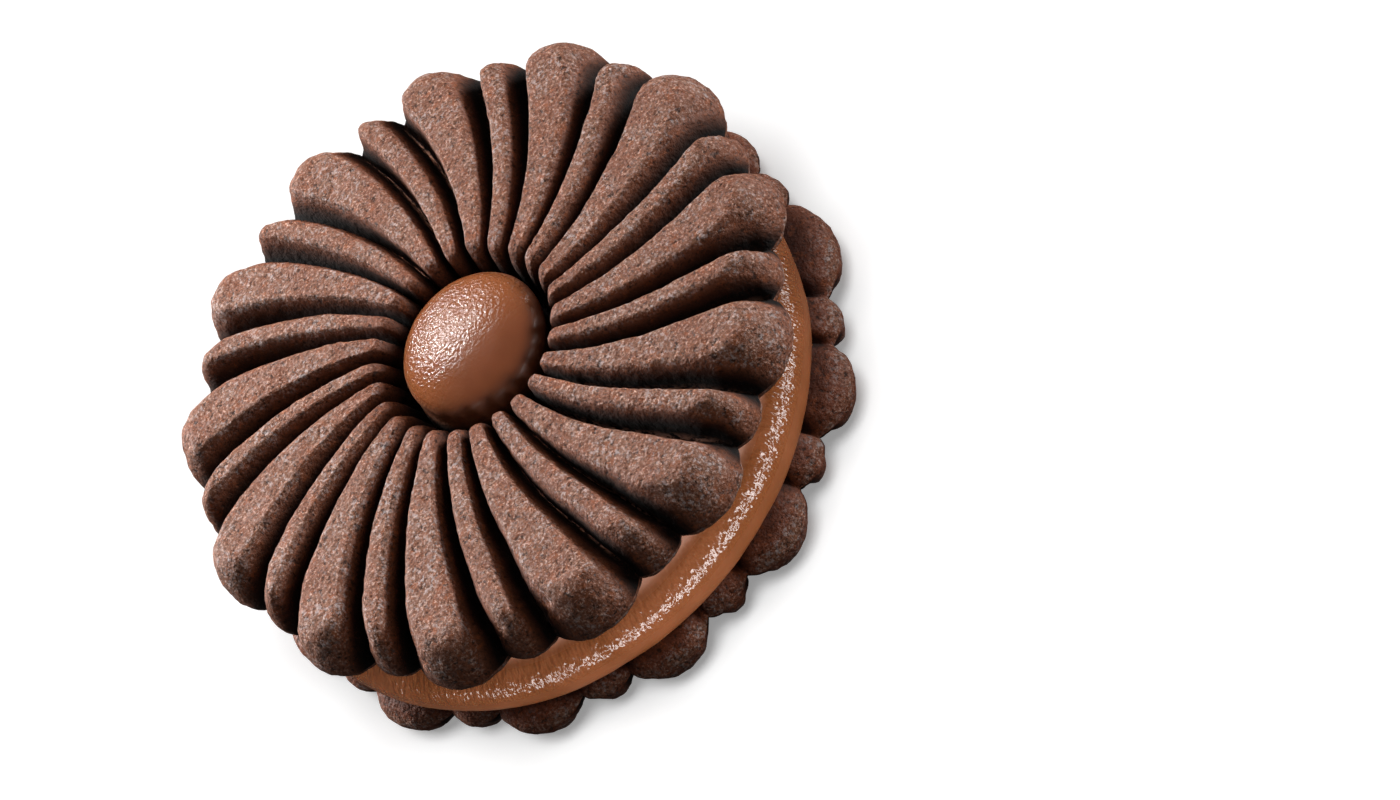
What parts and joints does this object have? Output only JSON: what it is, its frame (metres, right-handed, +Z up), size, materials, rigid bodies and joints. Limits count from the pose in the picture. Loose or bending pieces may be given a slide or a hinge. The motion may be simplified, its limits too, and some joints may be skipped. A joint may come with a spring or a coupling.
{
  "type": "chocolate fudge cookie",
  "caption": "Round sandwich cookie: swirled flower-petal chocolate biscuits with a thick layer of fudge between them, which also fills the top biscuit's centre hole as a dome.",
  "frame": {"origin": "middle of the flat boss under the bottom biscuit, in the plane that the cookie rests on", "axes": "+Z up along the cookie's axis, from the bottom biscuit to the fudge dome; +X through the middle of a wide petal of the top biscuit, +Y a quarter turn from it"},
  "size_m": [0.0501, 0.0501, 0.0167],
  "materials": {
    "biscuit": null,
    "fudge": null
  },
  "bodies": {
    "root": {"bottom_biscuit": "biscuit", "fudge_filling": "fudge", "top_biscuit": "biscuit"}
  },
  "joints": []
}
